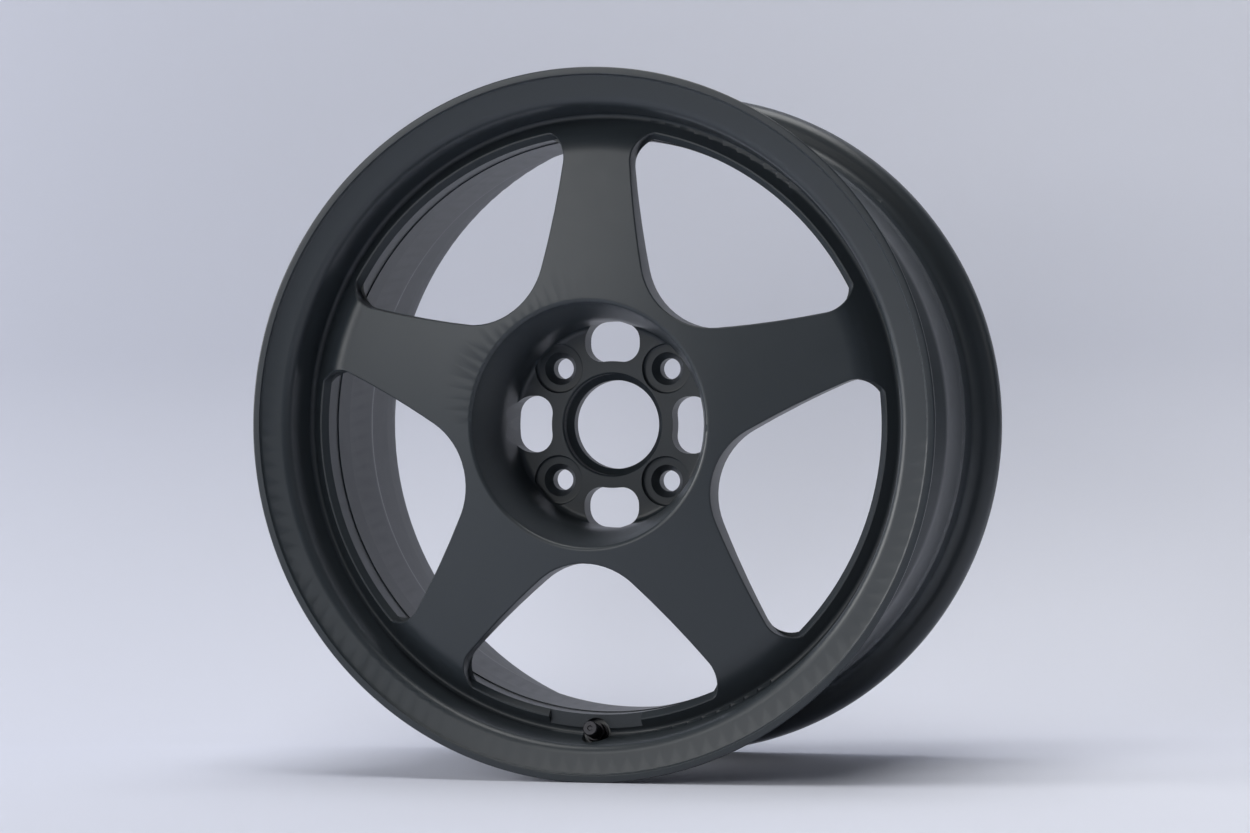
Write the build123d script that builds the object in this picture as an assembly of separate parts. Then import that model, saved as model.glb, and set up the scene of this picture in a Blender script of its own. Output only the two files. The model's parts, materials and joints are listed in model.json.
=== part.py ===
from build123d import *
import os
from math import asin, atan2, cos, degrees, hypot, radians, sin, tan

# One-piece forged racing wheel rim, 16 x 7.5 J, with its clamp-in tyre valve.
# Millimetres. +Z is up and the wheel's axis is Y: the outboard (street) side faces -Y. The origin is the
# middle of the hub mounting face, so everything with negative Y stands outboard of the hub.

# ---------------------------------------------------------------- rim and tyre seats
RIM_WIDTH = 190.5            # between the two flange faces that hold the tyre
OFFSET = 28.0                # the middle of the rim lies this far inboard of the hub face
SEAT_R = 202.8               # bead seat, where it meets the flange
SEAT_TAPER = 5.0             # degrees
SEAT_LENGTH = 20.0
FLANGE_HEIGHT = 17.2         # above the bead seat
LIP_DEPTH = 10.15            # from the flange's tyre face out to the lip's end
FLANGE_CURL_R = 9.5          # the curl that the tyre's bead leans on
FLANGE_EDGE_R = 1.0
SEAT_CORNER_R = 6.5
SEAT_END_ROUND = 3.0
HUMP_HEIGHT = 1.5            # safety hump above the end of the seat
HUMP_WIDTH = 3.4
HUMP_ROUND = 2.5
HUMP_TIGHTER = 0.7           # the rear hump is rounder than the front one by this
HUMP_FALL = 1.0              # the hump's back falls this far before the well begins
WELL_DEPTH = 17.3            # drop centre, below the bead seat
WELL_REAR_SPAN = 92.55       # from the well's inboard end to the rear flange's tyre face
WELL_SLOPE_RUN = 12.0
WELL_TOP_ROUND = 4.0
WELL_ROUND = 8.0
REAR_RAMP_RUN = 27.0
REAR_RAMP_DROP = 3.4         # the ramp's top, below the bead seat
REAR_WELL_ROUND = 14.0
RAMP_ROUND = 12.0
BARREL_WALL = 3.6
BARREL_LAG = 3.0             # the barrel's inside bends this far behind its outside
REAR_LIP_WALL = 7.5          # rear lip, from its outer edge to where the inside begins
REAR_LIP_ROUND = 3.5
REAR_SEAT_ROUND = 10.0
REAR_SEAT_RISE = 1.5         # the inside opens by this under the rear seat
REAR_SEAT_BACK = 2.0         # and bends outwards this far before the tyre face

# ---------------------------------------------------------------- front lip and valley
LIP_LAND = 4.4               # flat ring at the lip's end
LIP_STEP = 2.2               # the step behind that ring
LIP_ROLL_DROP = 5.0          # inner face of the lip, below the bead seat, where it rolls over
LIP_ROLL_R = 7.0
VALLEY_DROP = 9.2            # bottom of the valley, below the bead seat
VALLEY_CORNER_R = 2.6
LIP_STEP_ROUND = 1.4
LIP_LAND_ROUND = 0.4
LIP_STEP_LEAN = 0.4
LIP_ROLL_START = 2.6         # the roll begins this far behind the step
FLOOR_SLOPE = 43.0           # degrees, the valley's floor as it rises towards the spokes
FLOOR_RUN = 18.2             # radial width of that floor
VALLEY_WALL = 3.5            # the well starts this far behind the valley's bottom

# ---------------------------------------------------------------- spokes and windows
SPOKES = 5
FIRST_SPOKE = 88.2           # degrees, the upright spoke
FACE_SLOPE = 6.4             # degrees, the spoke faces fall away towards the rim
FACE_DEPTH = 6.7             # at the mouth of the hub bowl, behind the front lip
FACE_ROLL_R = 24.0           # roll-over from the spoke face to the valley's floor
WINDOW_END_WALL = 5.0        # metal between a window's outer end and the well
WINDOW_APEX_INSET = 3.6      # a window's flanks would meet this far inside the bowl's mouth
WINDOW_HALF = 29.5           # degrees, from a window's middle to where a flank meets its outer end
WINDOW_BOW = 3.35            # the flanks bow outwards, so the spokes narrow like a waist
WINDOW_APEX_ROUND = 45.5
WINDOW_CORNER_ROUND = 15.5
WINDOW_BEVEL = 4.1           # turned bevel along the outer end of each window
BEVEL_SLOPE = 47.0           # degrees
BEVEL_DEPTH = 30.5           # inner edge of that bevel, behind the front lip
LEDGE = 1.0                  # the rear of the forging stands this far into each window's flanks
LEDGE_DEPTH = 22.5
END_LEDGE = 0.7              # the same along the window's outer end
END_LEDGE_DEPTH = 45.5
PARTING_DEPTH = 26.0         # the forging's parting line, where its rear draft starts
SPOKE_DRAFT = 28.0           # degrees, draft on the back of the spokes
SPOKE_BACK = 34.0            # back of the spokes, behind the front lip
SPOKE_ROOT_RUN = 16.0        # flare where a spoke meets the barrel
SPOKE_ROOT_DEPTH = 64.5
SPOKE_ROOT_ROUND = 14.0
SPOKE_ROOT_LIP = 1.0
CUP_BACK_ROUND = 6.0
EDGE_BREAK = 0.7
POCKET_DEPTH = 9.0           # pocket milled into the back of each spoke
POCKET_HUB_WALL = 14.0       # solid metal at the pocket's inner end
POCKET_ROOT_WALL = 22.5      # and at its outer end
POCKET_SIDE_WALL = 16.8      # and along its sides
POCKET_ROUND = 6.0

# ---------------------------------------------------------------- hub
BORE_R = 28.05
BORE_LAND = 7.0
BORE_CHAMFER = 1.5
BORE_STEP = 3.95             # the bore is wider by this in front of its land
BORE_STEP_ROUND = 0.8
FRONT_BORE_BREAK = 1.0
BOLT_CIRCLE_R = 50.0
BOLTS = 4
FIRST_BOLT = 44.0            # degrees
BOLT_HOLE_R = 6.65
SEAT_CONE = 60.0             # degrees, full angle
SEAT_LIP = 3.75              # the cone stands out from the hole by this
NUT_POCKET_LIP = 5.4         # room for the socket around the cone
NUT_POCKET_DEPTH = 3.2
NUT_POCKET_ROUND = 1.6
PAD_THICKNESS = 18.4         # from the hub face to the floor of the bowl
PAD_OVERHANG = 9.5           # the hub face reaches this far past the bowl's floor
BOWL_FLOOR_MARGIN = 3.1      # the bowl's floor reaches this far past the bolt seats
BOWL_FLOOR_ROUND = 4.0
BOWL_TAPER = 2.5             # the bowl widens by this up to its waist
WAIST_HEIGHT = 21.0          # waist, above the floor
WAIST_ROUND = 40.0
MOUTH_FLARE = 10.0           # and by this from the waist to the mouth
MOUTH_ROUND = 3.0
CUP_WALL = 7.0
SLOT_BORE_WALL = 8.0         # metal between the front bore and a slot
SLOT_REACH = 1.5             # a slot runs this far past the bowl's floor
SLOT_BOLT_WALL = 6.95        # metal between a slot and the cones beside it
SLOT_ROUND = 11.0
SLOT_OUT_ROUND = 12.0
RELIEF_MARGIN = 3.6
RELIEF_DEPTH = 6.0

# ---------------------------------------------------------------- milled pad and valve seat
VALVE_CLOCK = 0.7            # degrees past the middle of the lowest window
VALVE_TILT = 16.0            # degrees, the valve leans towards the hub as it comes out
VALVE_SEAT_DROP = 1.1        # middle of its spot face, below the valley's bottom
VALVE_SEAT_FORWARD = 1.82    # the same, in front of the valley's bottom
SPOT_MARGIN = 1.1            # spot face around the valve's head
VALVE_WALL = 5.0             # rim wall that the valve clamps
MARK_HALF_WIDTH = 30.0       # the milled pad around the valve
MARK_FORWARD = 4.32          # the pad's floor, in front of the valley's bottom
MARK_OUT_DROP = 1.4          # the pad's outer side, below the valley's bottom
MARK_ROUND = 6.0

# ---------------------------------------------------------------- valve, along its own axis
STEM_TIP_R = 3.85            # the cap's thread
STEM_SHOULDER = 0.15         # the shank behind it is thicker by this
STEM_TIP_OUT = 9.2           # stem's end above the nut
STEM_EDGE = 0.4
HOLE_CLEARANCE = 0.15        # radial, shank in the rim
HEAD_LIP = 3.8               # the head stands out from the shank by this
HEAD_THICKNESS = 2.6
HEAD_EDGE = 0.6
SEAL_INSET = 0.6             # the seal is smaller than the head
SEAL_THICKNESS = 2.0
WASHER_LIP = 3.0             # and the washer by this
WASHER_THICKNESS = 1.2
NUT_WALL = 1.5
NUT_HEIGHT = 4.4
CAP_WALL = 0.85
CAP_TOP = 1.2
CAP_GAP = 0.5                # between the nut and the cap's skirt
CAP_SEAL_THICKNESS = 0.8
CAP_EDGE = 0.6
CAP_RIM = 3.0                # flat ring around the dimple in the cap's end
CAP_DIMPLE_DEPTH = 0.5
CAP_FLUTES = 20
CAP_FLUTE_R = 0.45
CAP_BAND = 2.4               # plain band at the cap's end, above the flutes
THREAD_CLEARANCE = 0.05      # radial, where threads turn
SLIDE_CLEARANCE = 0.10       # radial, round the moving pin
SEAT_GAP = 0.02              # left between faces that only touch
TIP_WALL = 1.25              # metal between the cap's thread and the plug's thread
CORE_STEP = 0.5              # the bore narrows by this under the plug
PLUG_LENGTH = 4.8
PLUG_RECESS = 0.6            # plug's top, below the stem's end
PLUG_ROOM = 0.4              # thread left under the plug
PLUG_SLOT = 1.1
CORE_GAP = 0.35              # radial, between the narrow bore and the core's barrel
CORE_BARREL_LENGTH = 8.0
CORE_BARREL_WALL = 0.35
CORE_BARREL_FLOOR = 0.6
GASKET_LENGTH = 1.4
GASKET_DROP = 0.5            # gasket, below the bore's step
PIN_R = 0.55
PIN_RECESS = 0.2             # pin's top, below the stem's end
COLLAR_LENGTH = 0.6
COLLAR_GAP = 0.2             # radial, between the collar and the barrel
SPRING_GAP = 0.26            # radial, between the spring's wire and the barrel
SPRING_WIRE_R = 0.14
SPRING_TURNS = 6
CUP_INSET = 0.15             # the cup is smaller than the barrel
CUP_WALL_R = 0.2
CUP_FLOOR = 0.6
CORE_SEAL_LENGTH = 1.1
CORE_SEAL_PROUD = 0.4        # the seal stands out of its cup by this

# ---------------------------------------------------------------- run-out of the cutting tools
SPARE = 1.0
OVERRUN = 1.1                # the same as a ratio, along a window's flank

# ---------------------------------------------------------------- places worked out from the sizes
FRONT_Y = OFFSET - RIM_WIDTH / 2 - LIP_DEPTH
RIM_DEPTH = RIM_WIDTH + 2 * LIP_DEPTH
HUB_DEPTH = -FRONT_Y
FLANGE_R = SEAT_R + FLANGE_HEIGHT
SEAT_END_R = SEAT_R - SEAT_LENGTH * tan(radians(SEAT_TAPER))
HUMP_R = SEAT_END_R + HUMP_HEIGHT
WELL_R = SEAT_R - WELL_DEPTH
INNER_R = WELL_R - BARREL_WALL
WINDOW_R = WELL_R - WINDOW_END_WALL
VALLEY_R = SEAT_R - VALLEY_DROP
FLOOR_TOP_R = VALLEY_R - FLOOR_RUN
BOWL_FLOOR_R = BOLT_CIRCLE_R + BOLT_HOLE_R + SEAT_LIP + BOWL_FLOOR_MARGIN
BOWL_WAIST_R = BOWL_FLOOR_R + BOWL_TAPER
BOWL_MOUTH_R = BOWL_WAIST_R + MOUTH_FLARE
WINDOW_APEX_R = BOWL_MOUTH_R - WINDOW_APEX_INSET
STEM_R = STEM_TIP_R + STEM_SHOULDER
HEAD_R = STEM_R + HEAD_LIP
CAP_R = STEM_TIP_R + CAP_WALL
CORE_BORE_R = STEM_TIP_R - TIP_WALL
LOWER_BORE_R = CORE_BORE_R - CORE_STEP
CORE_BARREL_R = LOWER_BORE_R - CORE_GAP
CUP_R = CORE_BARREL_R - CUP_INSET
FLOOR_TOP_DEPTH = FACE_DEPTH + (FLOOR_TOP_R - BOWL_MOUTH_R) * tan(radians(FACE_SLOPE))
VALLEY_DEPTH = FLOOR_TOP_DEPTH + FLOOR_RUN * tan(radians(FLOOR_SLOPE))
PAD_DEPTH = HUB_DEPTH - PAD_THICKNESS
FRONT_BORE_R = BORE_R + BORE_STEP
NUT_SEAT_R = BOLT_HOLE_R + SEAT_LIP
SLOT_HALF = BOLT_CIRCLE_R * sin(radians(180.0 / BOLTS)) - NUT_SEAT_R - SLOT_BOLT_WALL


def section(points):
    """Closed section from (radius, depth behind the front lip, corner radius) triples."""
    corners = [(r, FRONT_Y + depth) for r, depth, _ in points]
    rounds = [corner for _, _, corner in points]
    return make_face(FilletPolyline(*corners, radius=rounds, close=True))


def turned(points):
    """Solid of revolution about the wheel's axis."""
    return revolve(section(points), Axis.Y)


def at_depth(sketch, angle, depth):
    """A sketch of (outward, sideways) coordinates, laid across the wheel at an angle and a depth."""
    turn = radians(angle)
    plane = Plane(origin=(0, FRONT_Y + depth, 0), x_dir=(cos(turn), 0, sin(turn)), z_dir=(0, 1, 0))
    return plane * sketch


def behind_front(sketch, angle, depth, length):
    """The same sketch, extruded from that depth towards the rear."""
    return extrude(at_depth(sketch, angle, depth), length)


def rim_section():
    """The whole turned section: lip, well, rear lip, spoke disc and hub."""
    front_seat = LIP_DEPTH
    front_hump = front_seat + SEAT_LENGTH
    hump_end = front_hump + 2 * HUMP_WIDTH
    rear_seat = RIM_DEPTH - LIP_DEPTH
    rear_hump = rear_seat - SEAT_LENGTH
    well_start = max(VALLEY_DEPTH + VALLEY_WALL, hump_end + HUMP_FALL)
    well_end = rear_seat - WELL_REAR_SPAN
    ramp_end = well_end + REAR_RAMP_RUN
    ramp_r = SEAT_R - REAR_RAMP_DROP
    rear_r = SEAT_END_R - BARREL_WALL
    root_r = WINDOW_R - END_LEDGE - SPOKE_ROOT_LIP
    tyre_side = [
        (FLANGE_R, 0, FLANGE_EDGE_R),
        (FLANGE_R, front_seat, FLANGE_CURL_R),
        (SEAT_R, front_seat, SEAT_CORNER_R),
        (SEAT_END_R, front_hump, SEAT_END_ROUND),
        (HUMP_R, front_hump + HUMP_WIDTH, HUMP_ROUND),
        (HUMP_R - HUMP_FALL, well_start, WELL_TOP_ROUND),
        (WELL_R, well_start + WELL_SLOPE_RUN, WELL_ROUND),
        (WELL_R, well_end, REAR_WELL_ROUND),
        (ramp_r, ramp_end, RAMP_ROUND),
        (SEAT_END_R, rear_hump - 2 * HUMP_WIDTH, WELL_TOP_ROUND),
        (HUMP_R, rear_hump - HUMP_WIDTH, HUMP_ROUND - HUMP_TIGHTER),
        (SEAT_END_R, rear_hump, SEAT_END_ROUND),
        (SEAT_R, rear_seat, SEAT_CORNER_R),
        (FLANGE_R, rear_seat, FLANGE_CURL_R),
        (FLANGE_R, RIM_DEPTH, FLANGE_EDGE_R),
    ]
    inside = [
        (FLANGE_R - REAR_LIP_WALL, RIM_DEPTH, REAR_LIP_ROUND),
        (rear_r + REAR_SEAT_RISE, rear_seat - REAR_SEAT_BACK, RAMP_ROUND),
        (rear_r, rear_hump - HUMP_WIDTH, REAR_SEAT_ROUND),
        (ramp_r - BARREL_WALL, ramp_end + BARREL_LAG, REAR_WELL_ROUND),
        (INNER_R, well_end + BARREL_LAG, REAR_WELL_ROUND + BARREL_WALL),
        (INNER_R, SPOKE_ROOT_DEPTH, EDGE_BREAK),
        (root_r, SPOKE_ROOT_DEPTH, LIP_LAND_ROUND),
        (root_r - SPOKE_ROOT_RUN, SPOKE_BACK, SPOKE_ROOT_ROUND),
        (BOWL_MOUTH_R + CUP_WALL, SPOKE_BACK, CUP_BACK_ROUND),
    ]
    hub = [
        (BOWL_FLOOR_R + PAD_OVERHANG, HUB_DEPTH, BORE_CHAMFER),
        (BORE_R + BORE_CHAMFER, HUB_DEPTH, 0),
        (BORE_R, HUB_DEPTH - BORE_CHAMFER, 0),
        (BORE_R, HUB_DEPTH - BORE_CHAMFER - BORE_LAND, 0),
        (FRONT_BORE_R, HUB_DEPTH - BORE_CHAMFER - BORE_LAND - BORE_STEP, BORE_STEP_ROUND),
        (FRONT_BORE_R, PAD_DEPTH + FRONT_BORE_BREAK, 0),
        (FRONT_BORE_R + FRONT_BORE_BREAK, PAD_DEPTH, 0),
        (BOWL_FLOOR_R, PAD_DEPTH, BOWL_FLOOR_ROUND),
        (BOWL_WAIST_R, PAD_DEPTH - WAIST_HEIGHT, WAIST_ROUND),
        (BOWL_MOUTH_R, FACE_DEPTH, MOUTH_ROUND),
    ]
    front = [
        (FLOOR_TOP_R, FLOOR_TOP_DEPTH, FACE_ROLL_R),
        (VALLEY_R, VALLEY_DEPTH, VALLEY_CORNER_R),
        (SEAT_R - LIP_ROLL_DROP, LIP_STEP + LIP_ROLL_START, LIP_ROLL_R),
        (FLANGE_R - LIP_LAND - LIP_STEP_LEAN, LIP_STEP, LIP_STEP_ROUND),
        (FLANGE_R - LIP_LAND, 0, LIP_LAND_ROUND),
    ]
    return tyre_side + inside + hub + front


def window_sector(inset):
    """The wedge between two bowed flanks, about the window's own middle, running out past the rim."""
    corner = Vector(WINDOW_R * cos(radians(WINDOW_HALF)), WINDOW_R * sin(radians(WINDOW_HALF)))
    apex = Vector(WINDOW_APEX_R, 0)
    chord = corner - apex
    bow_r = (chord.length ** 2 / 4 + WINDOW_BOW ** 2) / (2 * WINDOW_BOW)
    half_turn = degrees(asin(chord.length / 2 / bow_r))
    start = degrees(atan2(chord.Y, chord.X)) + half_turn
    flank = JernArc(apex, (cos(radians(start)), sin(radians(start))), bow_r, -OVERRUN * 2 * half_turn)
    end = flank @ 1
    far = FLANGE_R + corner.Y  # well outside the rim
    sector = make_face([
        flank,
        Line(end, (far, end.Y)),
        Line((far, end.Y), (far, -end.Y)),
        Line((far, -end.Y), (end.X, -end.Y)),
        mirror(flank, Plane.XZ),
    ])
    tip = sector.vertices().sort_by(Axis.X)[0]
    sector = fillet(tip, WINDOW_APEX_ROUND)
    return offset(sector, -inset) if inset else sector


def window_outline(outer_r, inset, corner_round):
    """One window about its own middle: a round apex, two flanks and an outer arc with round corners."""
    outline = window_sector(inset) & Circle(outer_r)
    corners = outline.vertices().sort_by(Axis.X)[-2:]
    return fillet(corners, corner_round)


def window_cutter(angle):
    """What is milled and forged away for one window, from the front lip to the back of the spokes."""
    far = SPOKE_ROOT_DEPTH + SPOKE_ROOT_LIP + CUP_BACK_ROUND
    face_outline = window_outline(WINDOW_R, 0, WINDOW_CORNER_ROUND)
    front = behind_front(face_outline, angle, -SPARE, LEDGE_DEPTH + SPARE)
    through = behind_front(window_outline(WINDOW_R, LEDGE, WINDOW_CORNER_ROUND), angle, 0, far)
    stepped = turned([
        (WINDOW_APEX_R, 0, 0),
        (WINDOW_R + SPARE, 0, 0),
        (WINDOW_R + SPARE, END_LEDGE_DEPTH, 0),
        (WINDOW_R - END_LEDGE, END_LEDGE_DEPTH, 0),
        (WINDOW_R - END_LEDGE, far, 0),
        (WINDOW_APEX_R, far, 0),
    ])
    bevel_r = WINDOW_R + WINDOW_BEVEL + 2 * SPARE
    bevel_outline = window_outline(bevel_r, 0, WINDOW_CORNER_ROUND + 2 * SPARE)
    bevel_run = 2 * WINDOW_BEVEL
    bevel_zone = turned([
        (WINDOW_APEX_R, 0, 0),
        (WINDOW_R + bevel_run, 0, 0),
        (WINDOW_R + bevel_run, BEVEL_DEPTH - bevel_run * tan(radians(BEVEL_SLOPE)), 0),
        (WINDOW_R, BEVEL_DEPTH, 0),
        (WINDOW_APEX_R, BEVEL_DEPTH, 0),
    ])
    bevel = behind_front(bevel_outline, angle, -SPARE, BEVEL_DEPTH + SPARE) & bevel_zone
    back_run = far - PARTING_DEPTH
    back_start = window_outline(WINDOW_R, LEDGE, WINDOW_CORNER_ROUND)
    spread = back_run * tan(radians(SPOKE_DRAFT))
    back_end = offset(back_start, spread)
    back = loft([
        at_depth(back_start, angle, PARTING_DEPTH),
        at_depth(back_end, angle, far),
    ])
    cup_r = BOWL_FLOOR_R + PAD_OVERHANG + CUP_WALL + SPARE
    back_zone = turned([
        (cup_r, PARTING_DEPTH, 0),
        (WINDOW_R, PARTING_DEPTH, 0),
        (WINDOW_R, END_LEDGE_DEPTH, 0),
        (WINDOW_R - END_LEDGE, END_LEDGE_DEPTH, 0),
        (WINDOW_R - END_LEDGE, far, 0),
        (cup_r, far, 0),
    ])
    return front + (through & stepped) + bevel + (back & back_zone)


def is_window_edge(edge):
    """True for the sharp edges where the windows cut the outboard face."""
    middle = edge @ 0.5
    start = edge @ 0
    end = edge @ 1
    radius = hypot(middle.X, middle.Z)
    depth = middle.Y - FRONT_Y
    bevel_r = WINDOW_R + WINDOW_BEVEL
    along_axis = hypot(start.X - end.X, start.Z - end.Z) < LEDGE
    turned_edge = edge.geom_type == GeomType.CIRCLE and radius < bevel_r - SPARE
    straight = edge.geom_type == GeomType.LINE
    in_front = depth < BEVEL_DEPTH - WINDOW_BEVEL / 2 and abs(depth - LEDGE_DEPTH) > EDGE_BREAK / 10
    beside = WINDOW_APEX_R < radius < bevel_r + 2 * SPARE
    return in_front and beside and not (along_axis or turned_edge or straight)


def rim_blank():
    """The turned forging with its windows cut through and their front edges broken."""
    blank = turned(rim_section()).rotate(Axis.Y, -FIRST_SPOKE)
    cutter = window_cutter(FIRST_SPOKE + 180.0 / SPOKES)
    blank -= [cutter.rotate(Axis.Y, 360.0 / SPOKES * k) for k in range(SPOKES)]
    return chamfer(blank.edges().filter_by(is_window_edge), EDGE_BREAK)


def bolt_seat(angle):
    """Pocket, cone and clearance hole for one wheel bolt or nut."""
    cone_depth = (NUT_SEAT_R - BOLT_HOLE_R) / tan(radians(SEAT_CONE / 2))
    floor = PAD_DEPTH + NUT_POCKET_DEPTH
    pocket_r = NUT_SEAT_R + NUT_POCKET_LIP
    seat = section([
        (0, PAD_DEPTH - SPARE, 0),
        (pocket_r, PAD_DEPTH - SPARE, 0),
        (pocket_r, floor, NUT_POCKET_ROUND),
        (NUT_SEAT_R, floor, 0),
        (BOLT_HOLE_R, floor + cone_depth, 0),
        (BOLT_HOLE_R, HUB_DEPTH + SPARE, 0),
        (0, HUB_DEPTH + SPARE, 0),
    ])
    turn = radians(angle)
    return revolve(seat, Axis.Y).moved(Location((BOLT_CIRCLE_R * cos(turn), 0, BOLT_CIRCLE_R * sin(turn))))


def slot_outline(grow):
    """Kidney slot: its inner side is concentric with the bore, its outer side is straight."""
    half = SLOT_HALF + grow
    outer = BOWL_FLOOR_R + SLOT_REACH + grow
    block = Pos(outer / 2, 0) * Rectangle(outer, 2 * half)
    block -= Circle(FRONT_BORE_R + SLOT_BORE_WALL - grow)
    near = block.vertices().sort_by(Axis.X)[:2]
    block = fillet(near, SLOT_ROUND + grow / 2)
    far = block.vertices().sort_by(Axis.X)[-2:]
    return fillet(far, SLOT_OUT_ROUND + grow / 2)


def spoke_half_width(along):
    """Half the width of a spoke between the straight lines that join the ends of its flanks."""
    half_pitch = radians(180.0 / SPOKES)
    corner = half_pitch - radians(WINDOW_HALF)
    start = (WINDOW_APEX_R * cos(half_pitch), WINDOW_APEX_R * sin(half_pitch))
    end = (WINDOW_R * cos(corner), WINDOW_R * sin(corner))
    share = (along - start[0]) / (end[0] - start[0])
    return start[1] + share * (end[1] - start[1])


def spoke_pockets():
    """Weight-saving pocket in the back of each spoke."""
    low = BOWL_MOUTH_R + CUP_WALL + POCKET_HUB_WALL
    high = WINDOW_R - POCKET_ROOT_WALL
    low_half = spoke_half_width(low) - POCKET_SIDE_WALL
    high_half = spoke_half_width(high) - POCKET_SIDE_WALL
    outline = Polygon((low, -low_half), (high, -high_half), (high, high_half), (low, low_half), align=None)
    outline = fillet(outline.vertices(), POCKET_ROUND)
    start = SPOKE_BACK - POCKET_DEPTH
    length = SPOKE_ROOT_DEPTH - start
    return [behind_front(outline, FIRST_SPOKE + 360.0 / SPOKES * k, start, length) for k in range(SPOKES)]


def hub_cutters():
    """Bolt seats, kidney slots and the relief around each slot in the hub face."""
    cuts = [bolt_seat(FIRST_BOLT + 360.0 / BOLTS * k) for k in range(BOLTS)]
    through = PAD_THICKNESS + WAIST_HEIGHT + SLOT_OUT_ROUND
    relief = slot_outline(RELIEF_MARGIN)
    for k in range(BOLTS):
        angle = FIRST_BOLT + 180.0 / BOLTS + 360.0 / BOLTS * k
        cuts.append(behind_front(slot_outline(0), angle, HUB_DEPTH + SPARE - through, through))
        cuts.append(behind_front(relief, angle, HUB_DEPTH - RELIEF_DEPTH, RELIEF_DEPTH + SPARE))
    return cuts


# the valve stands on its own axis: local Z runs out of the rim, local zero is its front spot face
LEAN = radians(VALVE_TILT)
VALVE_ANGLE = FIRST_SPOKE + 180.0 + VALVE_CLOCK
VALVE_TURN = radians(VALVE_ANGLE)
VALVE_SEAT_R = VALLEY_R - VALVE_SEAT_DROP
VALVE_SEAT_Y = FRONT_Y + VALLEY_DEPTH - VALVE_SEAT_FORWARD
VALVE_PLANE = Plane(
    origin=(VALVE_SEAT_R * cos(VALVE_TURN), VALVE_SEAT_Y, VALVE_SEAT_R * sin(VALVE_TURN)),
    x_dir=(-sin(VALVE_TURN), 0, cos(VALVE_TURN)),
    z_dir=(-sin(LEAN) * cos(VALVE_TURN), -cos(LEAN), -sin(LEAN) * sin(VALVE_TURN)),
)


def ring(outer, inner, low, high):
    """A plain ring or, with no inner radius, a disc about local Z."""
    height = high - low
    body = Cylinder(outer, height, align=(Align.CENTER, Align.CENTER, Align.MIN))
    if inner:
        body -= Cylinder(inner, height, align=(Align.CENTER, Align.CENTER, Align.MIN))
    return Pos(0, 0, low) * body


def lathe(points):
    """Solid about local Z from (radius, height) corners."""
    return revolve(make_face(Polyline(*[(r, 0, z) for r, z in points], close=True)), Axis.Z)


def valve_cutters():
    """Milled pad beside the valve, both spot faces and the valve hole."""
    pad_out = VALLEY_R - MARK_OUT_DROP
    pad = Pos((WINDOW_APEX_R + pad_out) / 2, 0) * Rectangle(pad_out - WINDOW_APEX_R, 2 * MARK_HALF_WIDTH)
    pad = fillet(pad.vertices().sort_by(Axis.X)[-2:], MARK_ROUND)
    pad -= Circle(WINDOW_R - WINDOW_BEVEL)
    pad_top = FLOOR_TOP_DEPTH - SPARE
    pad_floor = VALLEY_DEPTH - MARK_FORWARD
    spot_r = HEAD_R + SPOT_MARGIN
    spot = VALVE_PLANE * ring(spot_r, 0, 0, 2 * spot_r)
    back_spot = VALVE_PLANE * ring(spot_r, 0, -VALVE_WALL - 2 * spot_r, -VALVE_WALL)
    hole = VALVE_PLANE * ring(STEM_R + HOLE_CLEARANCE, 0, -VALVE_WALL - SPARE, SPARE)
    return [behind_front(pad, VALVE_ANGLE, pad_top, pad_floor - pad_top), spot, back_spot, hole]


def rim_forging():
    """The finished one-piece rim."""
    return rim_blank() - spoke_pockets() - hub_cutters() - valve_cutters()


# heights along the valve's axis
WASHER_TOP = WASHER_THICKNESS
NUT_TOP = WASHER_TOP + NUT_HEIGHT
STEM_OUT = NUT_TOP + STEM_TIP_OUT
HEAD_TOP = -VALVE_WALL - SEAL_THICKNESS
HEAD_LOW = HEAD_TOP - HEAD_THICKNESS
CAP_LOW = NUT_TOP + CAP_GAP
CAP_INSIDE = STEM_OUT + SEAT_GAP + CAP_SEAL_THICKNESS
CAP_END = CAP_INSIDE + CAP_TOP
PLUG_TOP = STEM_OUT - PLUG_RECESS
PLUG_LOW = PLUG_TOP - PLUG_LENGTH
CORE_LOW = PLUG_LOW - CORE_BARREL_LENGTH
CORE_BORE_LOW = PLUG_LOW - PLUG_ROOM
GASKET_TOP = CORE_BORE_LOW - CORE_STEP - GASKET_DROP
COLLAR_LOW = PLUG_LOW - COLLAR_LENGTH - SEAT_GAP
CUP_LOW = CORE_LOW - SEAT_GAP - CORE_SEAL_LENGTH - CUP_FLOOR


def valve_stem():
    """Brass stem: a round head inside the tyre space, a threaded shank and the stepped bore for the core."""
    return lathe([
        (LOWER_BORE_R, HEAD_LOW),
        (HEAD_R - HEAD_EDGE, HEAD_LOW),
        (HEAD_R, HEAD_LOW + HEAD_EDGE),
        (HEAD_R, HEAD_TOP),
        (STEM_R, HEAD_TOP),
        (STEM_R, NUT_TOP),
        (STEM_TIP_R, CAP_LOW),
        (STEM_TIP_R, STEM_OUT - STEM_EDGE),
        (STEM_TIP_R - STEM_EDGE, STEM_OUT),
        (CORE_BORE_R, STEM_OUT),
        (CORE_BORE_R, CORE_BORE_LOW),
        (LOWER_BORE_R, CORE_BORE_LOW - CORE_STEP),
    ])


def valve_nut():
    """Hexagon nut with chamfered corners."""
    flat_r = STEM_R + NUT_WALL
    corner_r = flat_r / cos(radians(30))
    body = Pos(0, 0, WASHER_TOP) * extrude(RegularPolygon(corner_r, 6), NUT_HEIGHT)
    drop = (corner_r - flat_r) * tan(radians(30))
    body &= lathe([
        (0, WASHER_TOP),
        (corner_r, WASHER_TOP),
        (corner_r, NUT_TOP - drop),
        (flat_r, NUT_TOP),
        (0, NUT_TOP),
    ])
    return body - ring(STEM_R + THREAD_CLEARANCE, 0, WASHER_TOP, NUT_TOP)


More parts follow.
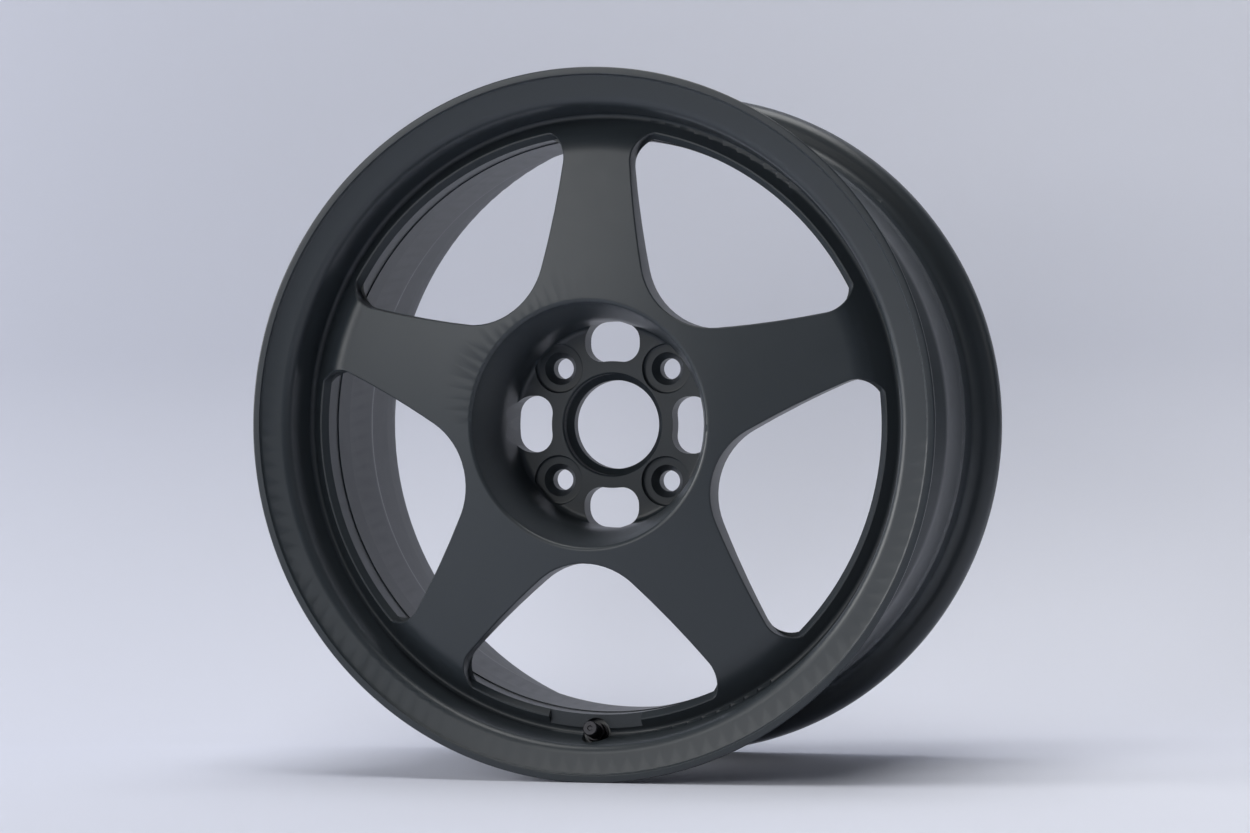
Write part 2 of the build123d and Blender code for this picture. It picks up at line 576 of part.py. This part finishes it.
def valve_cap():
    """Turned cap: fluted skirt, plain band, a dimple in its end and a threaded bore over the stem's tip."""
    bore = STEM_TIP_R + THREAD_CLEARANCE
    dimple = CAP_R - CAP_RIM
    body = lathe([
        (bore, CAP_LOW),
        (CAP_R, CAP_LOW),
        (CAP_R, CAP_END - CAP_EDGE),
        (CAP_R - CAP_EDGE, CAP_END),
        (dimple, CAP_END),
        (dimple - CAP_DIMPLE_DEPTH, CAP_END - CAP_DIMPLE_DEPTH),
        (0, CAP_END - CAP_DIMPLE_DEPTH),
        (0, CAP_INSIDE),
        (bore, CAP_INSIDE),
    ])
    flute = ring(CAP_FLUTE_R, 0, CAP_LOW - SPARE, CAP_END - CAP_BAND)
    reach = CAP_R + CAP_FLUTE_R / 2
    return body - PolarLocations(reach, CAP_FLUTES) * flute


def core_plug():
    """Threaded plug that holds the core down, slotted across its top for the core tool."""
    body = ring(CORE_BORE_R - THREAD_CLEARANCE, PIN_R + SLIDE_CLEARANCE, PLUG_LOW, PLUG_TOP)
    slot = Pos(0, 0, PLUG_TOP) * Box(3 * CORE_BORE_R, PLUG_SLOT, 2 * PLUG_SLOT)
    return body - slot


def core_barrel():
    """Thin tube under the plug, with a floor that the seal closes against."""
    inner = CORE_BARREL_R - CORE_BARREL_WALL
    floor = CORE_LOW + CORE_BARREL_FLOOR
    return lathe([
        (PIN_R + SLIDE_CLEARANCE, CORE_LOW),
        (CORE_BARREL_R, CORE_LOW),
        (CORE_BARREL_R, PLUG_LOW),
        (inner, PLUG_LOW),
        (inner, floor),
        (PIN_R + SLIDE_CLEARANCE, floor),
    ])


def core_pin():
    """Pin that opens the core when it is pressed, with the collar that the spring pushes on."""
    shank = ring(PIN_R, 0, CUP_LOW, STEM_OUT - PIN_RECESS)
    collar_r = CORE_BARREL_R - CORE_BARREL_WALL - COLLAR_GAP
    return shank + ring(collar_r, 0, COLLAR_LOW, COLLAR_LOW + COLLAR_LENGTH)


def core_spring():
    """Compression spring between the barrel's floor and the pin's collar."""
    low = CORE_LOW + CORE_BARREL_FLOOR + SPRING_WIRE_R + SEAT_GAP
    high = COLLAR_LOW - SPRING_WIRE_R - SEAT_GAP
    coil_r = CORE_BARREL_R - CORE_BARREL_WALL - SPRING_GAP - SPRING_WIRE_R
    path = Pos(0, 0, low) * Helix(pitch=(high - low) / SPRING_TURNS, height=high - low, radius=coil_r)
    wire = Plane(origin=path @ 0, z_dir=path % 0) * Circle(SPRING_WIRE_R)
    return sweep(wire, path)


def core_cup():
    """Metal cup on the pin's lower end that carries the seal."""
    top = CUP_LOW + CUP_FLOOR + CORE_SEAL_LENGTH - CORE_SEAL_PROUD
    return lathe([
        (PIN_R + SEAT_GAP, CUP_LOW),
        (CUP_R, CUP_LOW),
        (CUP_R, top),
        (CUP_R - CUP_WALL_R, top),
        (CUP_R - CUP_WALL_R, CUP_LOW + CUP_FLOOR),
        (PIN_R + SEAT_GAP, CUP_LOW + CUP_FLOOR),
    ])


def core_seal():
    """Rubber ring in the cup, which closes the barrel's floor."""
    low = CUP_LOW + CUP_FLOOR
    return ring(CUP_R - CUP_WALL_R - SEAT_GAP, PIN_R + SEAT_GAP, low, low + CORE_SEAL_LENGTH)


on_valve = {
    "valve_stem": valve_stem(),
    "valve_seal": ring(HEAD_R - SEAL_INSET, STEM_R + THREAD_CLEARANCE, HEAD_TOP, -VALVE_WALL),
    "valve_washer": ring(STEM_R + WASHER_LIP, STEM_R + THREAD_CLEARANCE, 0, WASHER_TOP),
    "valve_nut": valve_nut(),
    "valve_cap": valve_cap(),
    "cap_seal": ring(STEM_TIP_R, 0, STEM_OUT + SEAT_GAP, CAP_INSIDE),
    "core_plug": core_plug(),
    "core_gasket": ring(LOWER_BORE_R - SEAT_GAP, CORE_BARREL_R, GASKET_TOP - GASKET_LENGTH, GASKET_TOP),
    "core_barrel": core_barrel(),
    "core_pin": core_pin(),
    "core_spring": core_spring(),
    "core_cup": core_cup(),
    "core_seal": core_seal(),
}

os.makedirs("parts", exist_ok=True)
export_step(rim_forging(), "parts/rim_forging.step")
for name, solid in on_valve.items():
    export_step(VALVE_PLANE * solid, f"parts/{name}.step")
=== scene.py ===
import json
import math

import bpy
import numpy as np
from mathutils import Matrix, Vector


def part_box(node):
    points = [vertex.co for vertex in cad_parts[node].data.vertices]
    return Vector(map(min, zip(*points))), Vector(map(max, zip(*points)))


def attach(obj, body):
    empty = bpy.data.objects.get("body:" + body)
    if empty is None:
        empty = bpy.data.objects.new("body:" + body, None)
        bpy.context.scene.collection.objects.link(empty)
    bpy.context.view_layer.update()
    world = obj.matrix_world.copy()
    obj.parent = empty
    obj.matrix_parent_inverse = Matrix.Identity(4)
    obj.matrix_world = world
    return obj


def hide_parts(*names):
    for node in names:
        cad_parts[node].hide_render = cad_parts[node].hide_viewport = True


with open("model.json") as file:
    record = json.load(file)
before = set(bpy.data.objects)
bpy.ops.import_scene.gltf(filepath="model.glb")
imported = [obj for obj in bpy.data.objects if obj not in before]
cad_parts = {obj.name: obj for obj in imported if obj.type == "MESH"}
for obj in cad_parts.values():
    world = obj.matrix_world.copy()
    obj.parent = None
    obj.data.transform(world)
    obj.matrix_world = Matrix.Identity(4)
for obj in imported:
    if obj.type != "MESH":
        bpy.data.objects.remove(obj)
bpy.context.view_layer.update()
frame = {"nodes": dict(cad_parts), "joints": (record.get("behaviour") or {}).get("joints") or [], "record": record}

bl_info = {
    "name": "Forged Racing Rim",
    "version": (1, 0, 0),
    "blender": (4, 5, 0),
    "location": "View3D > Sidebar > Rim",
    "description": "Paint, valve fittings and studio stage for a one-piece forged racing rim",
    "category": "Object",
}

# ---------------------------------------------------------------- places read from the frame
RECORD = frame["record"]
MOUNTS = {mount["name"]: mount for mount in RECORD["mounts"]}
JOINTS = {joint["name"]: joint for joint in frame["joints"]}
RIM_LOW, RIM_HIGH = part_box("rim_forging")
FLANGE_R = (RIM_HIGH.x - RIM_LOW.x) / 2
FRONT_Y = RIM_LOW.y
REAR_Y = RIM_HIGH.y
MM = 0.001
WELD = 2e-6


# ---------------------------------------------------------------- shader maths
class Value:
    """A socket of a material's node tree. Arithmetic on it adds the Math nodes."""

    def __init__(self, shader, socket):
        self.shader = shader
        self.socket = socket

    def maths(self, operation, *others):
        return self.shader.node("ShaderNodeMath", {"operation": operation}, (self, *others)).value()

    def __add__(self, other):
        return self.maths("ADD", other)

    __radd__ = __add__

    def __mul__(self, other):
        return self.maths("MULTIPLY", other)

    __rmul__ = __mul__

    def __sub__(self, other):
        return self.maths("SUBTRACT", other)

    def __rsub__(self, other):
        return self * -1.0 + other

    def __truediv__(self, other):
        return self.maths("DIVIDE", other)

    def __pow__(self, other):
        return self.maths("POWER", other)

    def __gt__(self, other):
        return self.maths("GREATER_THAN", other)

    def __lt__(self, other):
        return self.maths("LESS_THAN", other)

    def sqrt(self):
        return self.maths("SQRT")

    def sine(self):
        return self.maths("SINE")

    def absolute(self):
        return self.maths("ABSOLUTE")

    def clamp(self):
        return self.shader.node("ShaderNodeClamp", {}, {"Value": self}).value()

    def step(self, low, high):
        """0 below low, 1 above high, and smooth between them."""
        settings = {"interpolation_type": "SMOOTHSTEP"}
        return self.shader.node("ShaderNodeMapRange", settings, {"Value": self, 1: low, 2: high}).value()


class Node:
    """A node that has been added, with its outputs by name or number."""

    def __init__(self, shader, node):
        self.shader = shader
        self.node = node

    def value(self, output=0):
        return Value(self.shader, self.node.outputs[output])


class Shader:
    """One material under construction, with a Principled shader at its end."""

    def __init__(self, name, **constants):
        self.material = bpy.data.materials.new(name)
        self.material.use_nodes = True
        self.tree = self.material.node_tree
        self.surface = self.tree.nodes["Principled BSDF"]
        for socket, value in constants.items():
            self.set(self.surface, socket.replace("_", " "), value)
        self.place = self.node("ShaderNodeTexCoord").value("Object")

    def set(self, node, socket, value):
        """Puts a number, a colour or another node's output into a socket."""
        target = node.inputs[socket]
        if isinstance(value, Value):
            self.tree.links.new(value.socket, target)
        elif isinstance(value, (tuple, list)) and target.type == "RGBA":
            target.default_value = (*value[:3], 1.0)
        else:
            target.default_value = value

    def node(self, kind, settings=None, inputs=()):
        """Adds a node: its settings first, then the values or links of its sockets."""
        node = self.tree.nodes.new(kind)
        for name, value in (settings or {}).items():
            if name == "stops":
                ramp = node.color_ramp
                for position, colour in value[1:-1]:
                    ramp.elements.new(position).color = (*colour, 1.0)
                for element, (position, colour) in zip(ramp.elements, value):
                    element.position = position
                    element.color = (*colour, 1.0)
            else:
                setattr(node, name, value)
        pairs = inputs.items() if isinstance(inputs, dict) else enumerate(inputs)
        for socket, value in pairs:
            self.set(node, socket, value)
        return Node(self, node)

    def noise(self, scale, detail=2.0, rough=0.5, place=None):
        """Soft noise between 0 and 1, with so many cells to a metre."""
        inputs = {"Vector": place or self.place, "Scale": scale, "Detail": detail, "Roughness": rough}
        return self.node("ShaderNodeTexNoise", {}, inputs).value(0)

    def mix(self, factor, first, second):
        """Blends two colours."""
        inputs = {"Factor": factor, 6: first, 7: second}
        return self.node("ShaderNodeMix", {"data_type": "RGBA"}, inputs).value(2)

    def axes(self, place=None):
        """The three coordinates of a place, as values."""
        split = self.node("ShaderNodeSeparateXYZ", {}, (place or self.place,))
        return split.value(0), split.value(1), split.value(2)

    def bump(self, height, distance, strength=1.0, normal=None):
        """Tilts the surface as if it stood out by that height, in metres at full strength."""
        inputs = {"Height": height, "Distance": distance, "Strength": strength}
        if normal is not None:
            inputs["Normal"] = normal
        return self.node("ShaderNodeBump", {}, inputs).value()

    def finish(self, **links):
        """Joins varying inputs to the Principled shader and returns the material."""
        for socket, value in links.items():
            self.set(self.surface, socket.replace("_", " "), value)
        return self.material


# ---------------------------------------------------------------- settings
class StudioSettings(bpy.types.PropertyGroup):
    """Camera, backdrop and lights."""

    distance: bpy.props.FloatProperty(
        name="Camera Distance", description="From the middle of the front lip", default=2.1018, unit="LENGTH")
    azimuth: bpy.props.FloatProperty(
        name="Azimuth", description="How far round the camera stands", default=math.radians(17.186), subtype="ANGLE")
    tilt: bpy.props.FloatProperty(
        name="Tilt", description="How far the camera looks down", default=math.radians(-0.187), subtype="ANGLE")
    roll: bpy.props.FloatProperty(
        name="Roll", description="Turn about the line of sight", default=math.radians(-0.696), subtype="ANGLE")
    aim_x: bpy.props.FloatProperty(
        name="Aim Right", description="Wheel's middle, right of the picture's middle", default=-0.02561, unit="LENGTH")
    aim_z: bpy.props.FloatProperty(
        name="Aim Up", description="Wheel's middle, above the picture's middle", default=-0.00509, unit="LENGTH")
    lens: bpy.props.FloatProperty(
        name="Lens", description="Focal length on a 36 mm sensor", default=98.52, unit="CAMERA")
    # Painted light: these two paper colours are the ends of a gradient across the backdrop. The grading between them
    # is painted light: the paper is made brighter towards the right to stand in for how the lamps light it.
    paper: bpy.props.FloatVectorProperty(
        name="Paper", description="Colour of the floor and backdrop", default=(0.60, 0.62, 0.70), subtype="COLOR")
    paper_painted_light_right: bpy.props.FloatVectorProperty(
        name="Paper Right", description="Its colour on the side away from the key light", default=(0.88, 0.90, 0.98),
        subtype="COLOR")
    ambient: bpy.props.FloatProperty(
        name="Ambient", description="Strength of the light from all round", default=0.02, min=0.0)


class PaintSettings(bpy.types.PropertyGroup):
    """The rim's powder coat."""

    colour: bpy.props.FloatVectorProperty(
        name="Colour", description="Satin coat", default=(0.029, 0.036, 0.042), subtype="COLOR")
    roughness: bpy.props.FloatProperty(
        name="Roughness", description="Satin sheen of the coat", default=0.38, min=0.0, max=1.0)
    widest_arc: bpy.props.FloatProperty(
        name="Widest Arc", description="Longest step round a turned surface", default=math.radians(2.7), subtype="ANGLE")
    grain: bpy.props.FloatProperty(
        name="Grain", description="Height of the coat's fine texture", default=0.000012, unit="LENGTH", precision=6)


# ---------------------------------------------------------------- materials
def rim_paint(settings):
    """Satin powder coat: a fine pebbled skin, slight drifts of tone, and a rubbed, brighter look on the lip."""
    coat = Shader("rim_satin_coat", Metallic=0.0, Specular_IOR_Level=0.5)
    x, y, z = coat.axes()
    radius = (x * x + z * z).sqrt()
    drift = coat.noise(9.0, 3.0)
    mottle = coat.noise(120.0, 2.0)
    tone = 0.9 + 0.14 * drift + 0.06 * mottle
    dark = tuple(0.9 * c for c in settings.colour)
    light = tuple(1.12 * c for c in settings.colour)
    colour = coat.mix((tone * 2.0 - 1.5).clamp(), dark, light)
    pebble = coat.noise(1900.0, 3.0, 0.6)
    peel = coat.noise(420.0, 1.0)
    skin = coat.bump(pebble * 0.7 + peel * 0.9, settings.grain)
    lip = radius.step(FLANGE_R - 6.0 * MM, FLANGE_R - 1.0 * MM)
    roughness = settings.roughness - 0.05 * lip + 0.06 * (mottle - 0.5) + 0.05 * (drift - 0.5)
    return coat.finish(Base_Color=colour, Roughness=roughness, Normal=skin)


def black_plating(name, colour, roughness, metallic=0.85):
    """Thin black plating over metal, with a faint fine noise grain and a little wear."""
    metal = Shader(name, Metallic=metallic)
    wear = metal.noise(900.0, 3.0)
    bright = tuple(min(1.0, 3.2 * c + 0.02) for c in colour)
    tint = metal.mix(wear.step(0.55, 0.8) * 0.5, colour, bright)
    scratch = metal.noise(5200.0, 1.0)
    return metal.finish(
        Base_Color=tint,
        Roughness=roughness + 0.12 * (wear - 0.5),
        Normal=metal.bump(scratch, 0.000006),
    )


def turned_brass(name):
    """Plain brass from the lathe, a little tarnished."""
    metal = Shader(name, Metallic=1.0)
    tarnish = metal.noise(700.0, 3.0)
    tint = metal.mix(tarnish.step(0.45, 0.75), (0.78, 0.58, 0.27), (0.52, 0.36, 0.15))
    return metal.finish(Base_Color=tint, Roughness=0.28 + 0.2 * tarnish, Normal=metal.bump(tarnish, 0.00001))


def moulded_rubber(name):
    """Black rubber with a fine moulded grain."""
    rubber = Shader(name, Metallic=0.0)
    grain = rubber.noise(2600.0, 2.0)
    bloom = rubber.noise(300.0, 3.0)
    tint = rubber.mix(bloom.step(0.4, 0.8), (0.016, 0.016, 0.017), (0.034, 0.034, 0.035))
    return rubber.finish(Base_Color=tint, Roughness=0.62 + 0.2 * bloom, Normal=rubber.bump(grain, 0.00003))


def sealing_plastic(name):
    """Red sealing plastic."""
    plastic = Shader(name, Metallic=0.0)
    cloud = plastic.noise(800.0, 2.0)
    tint = plastic.mix(cloud, (0.55, 0.05, 0.04), (0.72, 0.10, 0.07))
    return plastic.finish(Base_Color=tint, Roughness=0.35 + 0.1 * cloud, Normal=plastic.bump(cloud, 0.00001))


def spring_steel(name):
    """Bright drawn wire."""
    steel = Shader(name, Metallic=1.0)
    drawn = steel.noise(2400.0, 2.0)
    tint = steel.mix(drawn, (0.46, 0.46, 0.47), (0.66, 0.66, 0.67))
    return steel.finish(Base_Color=tint, Roughness=0.25 + 0.1 * drawn, Normal=steel.bump(drawn, 0.000006))


def coat_node(node, material):
    """Gives a CAD node its finish."""
    piece = frame["nodes"][node]
    piece.data.materials.clear()
    piece.data.materials.append(material)


# ---------------------------------------------------------------- the forging's fine surface
def node_triangles(node):
    """A CAD node's corners and triangles, with the corners that meet joined into one."""
    source = frame["nodes"][node]
    mesh = source.data
    points = np.empty(len(mesh.vertices) * 3)
    mesh.vertices.foreach_get("co", points)
    points = points.reshape(-1, 3) @ np.array(source.matrix_world.to_3x3()).T + np.array(source.matrix_world.translation)
    corners = np.empty(len(mesh.loops), dtype=np.int64)
    mesh.loops.foreach_get("vertex_index", corners)
    cells = np.round(points / WELD).astype(np.int64)
    _, first, joined = np.unique(cells, axis=0, return_index=True, return_inverse=True)
    faces = joined.reshape(-1)[corners].reshape(-1, 3)
    a, b, c = faces.T
    return points[first], faces[(a != b) & (b != c) & (c != a)]


def turned_faces(points, faces):
    """Triangles that belong to a turned surface: they don't lean along the wheel's turn, and aren't flat across it."""
    a, b, c = points[faces].transpose(1, 0, 2)
    normal = np.cross(b - a, c - a)
    normal /= np.maximum(np.linalg.norm(normal, axis=1, keepdims=True), 1e-20)
    middle = (a + b + c) / 3
    radius = np.hypot(middle[:, 0], middle[:, 2])
    lean = (middle[:, 0] * normal[:, 2] - middle[:, 2] * normal[:, 0]) / radius
    return (np.abs(lean) < math.sin(math.radians(2.6))) & (np.abs(normal[:, 1]) < 0.9995)


def halve_long_arcs(points, faces, widest):
    """One pass over the turned surfaces: an edge that spans more than the widest angle is halved.

    The new point takes the mean radius, the mean angle about Y and the mean Y of the edge's ends, so it lies on
    the turned surface and not on the chord. A triangle with one, two or three halved edges becomes two, three
    or four triangles, so no gap opens.
    """
    radius = np.hypot(points[:, 0], points[:, 2])
    angle = np.arctan2(points[:, 2], points[:, 0])
    sides = np.sort(np.concatenate([faces[:, [0, 1]], faces[:, [1, 2]], faces[:, [2, 0]]]), axis=1)
    _, first, side_edge = np.unique(sides @ [len(points), 1], return_index=True, return_inverse=True)
    start, end = sides[first].T
    beside = np.bincount(side_edge, weights=np.tile(turned_faces(points, faces), 3))
    same_ring = (np.abs(radius[start] - radius[end]) < 10 * WELD) & (np.abs(points[start, 1] - points[end, 1]) < 10 * WELD)
    span = (angle[end] - angle[start] + math.pi) % (2 * math.pi) - math.pi
    halved = ((beside > 1) | (same_ring & (beside > 0))) & (np.abs(span) > widest)
    mean_r = (radius[start] + radius[end])[halved] / 2
    mean_angle = (angle[start] + span / 2)[halved]
    mean_y = (points[start, 1] + points[end, 1])[halved] / 2
    added = np.stack([mean_r * np.cos(mean_angle), mean_y, mean_r * np.sin(mean_angle)], axis=1)
    middle = np.full(len(first), -1)
    middle[halved] = len(points) + np.arange(len(added))
    cut = middle[side_edge].reshape(3, -1).T
    count = (cut >= 0).sum(axis=1)
    made = [faces[count == 0]]
    for k in range(3):
        turn = [k, (k + 1) % 3, (k + 2) % 3]
        a, b, c = faces[(count == 1) & (cut[:, k] >= 0)][:, turn].T
        ab = cut[(count == 1) & (cut[:, k] >= 0)][:, k]
        made += [np.stack([a, ab, c], axis=1), np.stack([ab, b, c], axis=1)]
        two = (count == 2) & (cut[:, k] < 0)
        a, b, c = faces[two][:, turn].T
        _, bc, ca = cut[two][:, turn].T
        made += [np.stack([ca, bc, c], axis=1), np.stack([a, b, bc], axis=1), np.stack([a, bc, ca], axis=1)]
    a, b, c = faces[count == 3].T
    ab, bc, ca = cut[count == 3].T
    made += [np.stack(corners, axis=1) for corners in ((a, ab, ca), (ab, b, bc), (ca, bc, c), (ab, bc, ca))]
    return np.concatenate([points, added]), np.concatenate(made), len(added)


def smooth_turned(mesh, faces):
    """Shading normals: sharp past an edge angle, and with no lean along the wheel's turn on turned faces."""
    mesh.shade_smooth()
    mesh.set_sharp_from_angle(angle=math.radians(28.0))
    normals = np.empty(len(mesh.loops) * 3, dtype=np.float32)
    mesh.corner_normals.foreach_get("vector", normals)
    normals = normals.reshape(-1, 3).astype(float)
    points = np.empty(len(mesh.vertices) * 3)
    mesh.vertices.foreach_get("co", points)
    points = points.reshape(-1, 3)
    corner = points[faces.reshape(-1)]
    around = np.stack([-corner[:, 2], np.zeros(len(corner)), corner[:, 0]], axis=1)
    around /= np.linalg.norm(around, axis=1, keepdims=True)
    turned = np.repeat(turned_faces(points, faces), 3)[:, None]
    lean = (normals * around).sum(axis=1, keepdims=True)
    normals -= np.where(turned, lean, 0.0) * around
    normals /= np.linalg.norm(normals, axis=1, keepdims=True)
    mesh.normals_split_custom_set(normals.tolist())


def mesh_object(name, points, faces):
    """A new object at the origin from points and faces."""
    mesh = bpy.data.meshes.new(name)
    mesh.from_pydata(points.tolist(), [], faces.tolist())
    mesh.validate()
    piece = bpy.data.objects.new(name, mesh)
    bpy.context.scene.collection.objects.link(piece)
    return piece


# ---------------------------------------------------------------- operators
class RIM_OT_finish(bpy.types.Operator):
    """Round off and paint the forging"""

    bl_idname = "rim.finish"
    bl_label = "Rim Finish"

    def execute(self, context):
        settings = context.scene.rim_paint
        points, faces = node_triangles("rim_forging")
        added = 1
        while added:
            points, faces, added = halve_long_arcs(points, faces, settings.widest_arc)
        forging = mesh_object("forging_surface", points, faces)
        smooth_turned(forging.data, faces)
        forging.data.materials.append(rim_paint(settings))
        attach(forging, "rim")
        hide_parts("rim_forging")
        return {"FINISHED"}


class RIM_OT_valve(bpy.types.Operator):
    """Finish the valve's outer pieces"""

    bl_idname = "rim.valve"
    bl_label = "Valve"

    def execute(self, context):
        coat_node("valve_stem", black_plating("valve_stem_plating", (0.05, 0.05, 0.052), 0.34))
        coat_node("valve_nut", black_plating("valve_nut_plating", (0.028, 0.028, 0.03), 0.4))
        coat_node("valve_washer", black_plating("valve_washer_plating", (0.03, 0.03, 0.032), 0.42))
        coat_node("valve_cap", black_plating("valve_cap_anodised", (0.03, 0.03, 0.034), 0.36))
        rubber = moulded_rubber("valve_rubber")
        coat_node("valve_seal", rubber)
        coat_node("cap_seal", rubber)
        return {"FINISHED"}


class RIM_OT_core(bpy.types.Operator):
    """Finish the valve's core"""

    bl_idname = "rim.core"
    bl_label = "Valve Core"

    def execute(self, context):
        brass = turned_brass("core_brass")
        for node in ("core_plug", "core_barrel", "core_pin", "core_cup"):
            coat_node(node, brass)
        coat_node("core_gasket", sealing_plastic("core_gasket_plastic"))
        coat_node("core_spring", spring_steel("core_spring_wire"))
        coat_node("core_seal", moulded_rubber("core_seal_rubber"))
        return {"FINISHED"}


def studio_axes(settings):
    """The camera's right, up and forward directions, from its azimuth, tilt and roll."""
    azimuth, tilt, roll = settings.azimuth, settings.tilt, settings.roll
    forward = np.array([
        -math.sin(azimuth) * math.cos(tilt),
        math.cos(azimuth) * math.cos(tilt),
        -math.sin(tilt),
    ])
    level = np.array([math.cos(azimuth), math.sin(azimuth), 0.0])
    rise = np.cross(level, forward)
    right = math.cos(roll) * level + math.sin(roll) * rise
    up = math.cos(roll) * rise - math.sin(roll) * level
    return right, up, forward


def add_camera(settings):
    """A camera that looks at the outboard face."""
    right, up, forward = studio_axes(settings)
    place = np.array([0.0, FRONT_Y, 0.0]) - right * settings.aim_x - up * settings.aim_z - forward * settings.distance
    data = bpy.data.cameras.new("studio_camera")
    data.sensor_width = 36.0
    data.lens = settings.lens
    data.clip_end = 30.0
    camera = bpy.data.objects.new("studio_camera", data)
    camera.matrix_world = Matrix((
        (right[0], up[0], -forward[0], place[0]),
        (right[1], up[1], -forward[1], place[1]),
        (right[2], up[2], -forward[2], place[2]),
        (0.0, 0.0, 0.0, 1.0),
    ))
    bpy.context.scene.collection.objects.link(camera)
    bpy.context.scene.camera = camera


def grid_mesh(name, points, close_u=False, close_v=False):
    """A mesh over a grid of points: rows are u, columns are v, and either way may close on itself."""
    rows, columns = points.shape[:2]
    index = np.arange(rows * columns).reshape(rows, columns)
    u = np.arange(rows if close_u else rows - 1)
    v = np.arange(columns if close_v else columns - 1)
    a = index[np.ix_(u, v)]
    b = index[np.ix_((u + 1) % rows, v)]
    c = index[np.ix_((u + 1) % rows, (v + 1) % columns)]
    d = index[np.ix_(u, (v + 1) % columns)]
    faces = np.stack([a, b, c, d], -1).reshape(-1, 4)
    mesh = bpy.data.meshes.new(name)
    mesh.from_pydata(points.reshape(-1, 3).tolist(), [], faces.tolist())
    mesh.shade_smooth()
    piece = bpy.data.objects.new(name, mesh)
    bpy.context.scene.collection.objects.link(piece)
    return piece


def add_backdrop(settings):
    """One sheet of paper: a level floor, a quarter circle and an upright wall, square to the camera, its colour graded
    across it as painted light.
    """
    floor_z = RIM_LOW.z
    bend = 0.28
    start = 0.20
    turn = np.linspace(0.0, math.pi / 2, 25)
    run = np.concatenate([[-5.0], start + bend * np.sin(turn), [start + bend]])
    rise = np.concatenate([[0.0], bend * (1.0 - np.cos(turn)), [5.0]])
    side = np.array([-5.0, 5.0])
    azimuth = settings.azimuth
    across = np.array([math.cos(azimuth), math.sin(azimuth), 0.0])
    away = np.array([-math.sin(azimuth), math.cos(azimuth), 0.0])
    points = (
        side[:, None, None] * across
        + run[None, :, None] * away
        + (floor_z + rise)[None, :, None] * np.array([0.0, 0.0, 1.0])
    )
    sheet = grid_mesh("studio_paper", points)
    paper = Shader("studio_paper_painted_light", Roughness=0.9, Specular_IOR_Level=0.1)
    x, y, z = paper.axes()
    along = x * float(across[0]) + y * float(across[1])
    # Painted light: the colour is graded along the backdrop from the darker paper colour on the left to the brighter
    # one on the right, standing in for the light falling on it.
    tone = paper.mix(along.step(-0.5, 0.8), tuple(settings.paper), tuple(settings.paper_painted_light_right))
    sheet.data.materials.append(paper.finish(Base_Color=tone))


LIGHTS = {
    # name: (azimuth from straight ahead, to the right; elevation; distance; size; power)
    "key_left": (-70.0, 12.0, 2.2, 1.0, 25.6),
    "front_left": (-25.0, 20.0, 2.4, 1.2, 14.1),
    "overhead": (0.0, 86.0, 2.0, 1.4, 31.9),
    "rim_right": (82.0, 18.0, 2.2, 1.0, 1.6),
}


def add_lights(settings):
    """Soft panels around the wheel, each turned to face it, and a dim even light from all round."""
    for name, (azimuth, elevation, distance, size, power) in LIGHTS.items():
        turn = math.radians(azimuth)
        lift = math.radians(elevation)
        direction = np.array([
            math.sin(turn) * math.cos(lift),
            -math.cos(turn) * math.cos(lift),
            math.sin(lift),
        ])
        data = bpy.data.lights.new(name, "AREA")
        data.shape = "SQUARE"
        data.size = size
        data.energy = power
        lamp = bpy.data.objects.new(name, data)
        across = np.cross([0.0, 0.0, 1.0], direction)
        across = across / np.linalg.norm(across)
        upward = np.cross(direction, across)
        place = direction * distance
        lamp.matrix_world = Matrix((
            (across[0], upward[0], direction[0], place[0]),
            (across[1], upward[1], direction[1], place[1]),
            (across[2], upward[2], direction[2], place[2]),
            (0.0, 0.0, 0.0, 1.0),
        ))
        bpy.context.scene.collection.objects.link(lamp)
    world = bpy.data.worlds.new("studio_air")
    world.use_nodes = True
    background = world.node_tree.nodes["Background"]
    background.inputs["Color"].default_value = (0.93, 0.95, 1.0, 1.0)
    background.inputs["Strength"].default_value = settings.ambient
    bpy.context.scene.world = world


class RIM_OT_stage(bpy.types.Operator):
    """Set up the camera, the paper and the lights"""

    bl_idname = "rim.stage"
    bl_label = "Stage"

    def execute(self, context):
        settings = context.scene.rim_studio
        add_camera(settings)
        add_backdrop(settings)
        add_lights(settings)
        context.scene.view_settings.view_transform = "Standard"
        return {"FINISHED"}


class RIM_PT_panel(bpy.types.Panel):
    """Lists the pieces and their settings"""

    bl_idname = "RIM_PT_panel"
    bl_label = "Forged Racing Rim"
    bl_space_type = "VIEW_3D"
    bl_region_type = "UI"
    bl_category = "Rim"

    def draw(self, context):
        for operator in OPERATORS:
            self.layout.operator(operator.bl_idname)
        for group in (context.scene.rim_studio, context.scene.rim_paint):
            for name in group.__annotations__:
                self.layout.prop(group, name)


OPERATORS = (RIM_OT_stage, RIM_OT_finish, RIM_OT_valve, RIM_OT_core)
CLASSES = (StudioSettings, PaintSettings, *OPERATORS, RIM_PT_panel)


def register():
    for item in CLASSES:
        bpy.utils.register_class(item)
    bpy.types.Scene.rim_studio = bpy.props.PointerProperty(type=StudioSettings)
    bpy.types.Scene.rim_paint = bpy.props.PointerProperty(type=PaintSettings)


def unregister():
    del bpy.types.Scene.rim_paint
    del bpy.types.Scene.rim_studio
    for item in reversed(CLASSES):
        bpy.utils.unregister_class(item)


def main():
    register()
    bpy.ops.rim.stage()
    bpy.ops.rim.finish()
    bpy.ops.rim.valve()
    bpy.ops.rim.core()


if __name__ == "__main__":
    main()
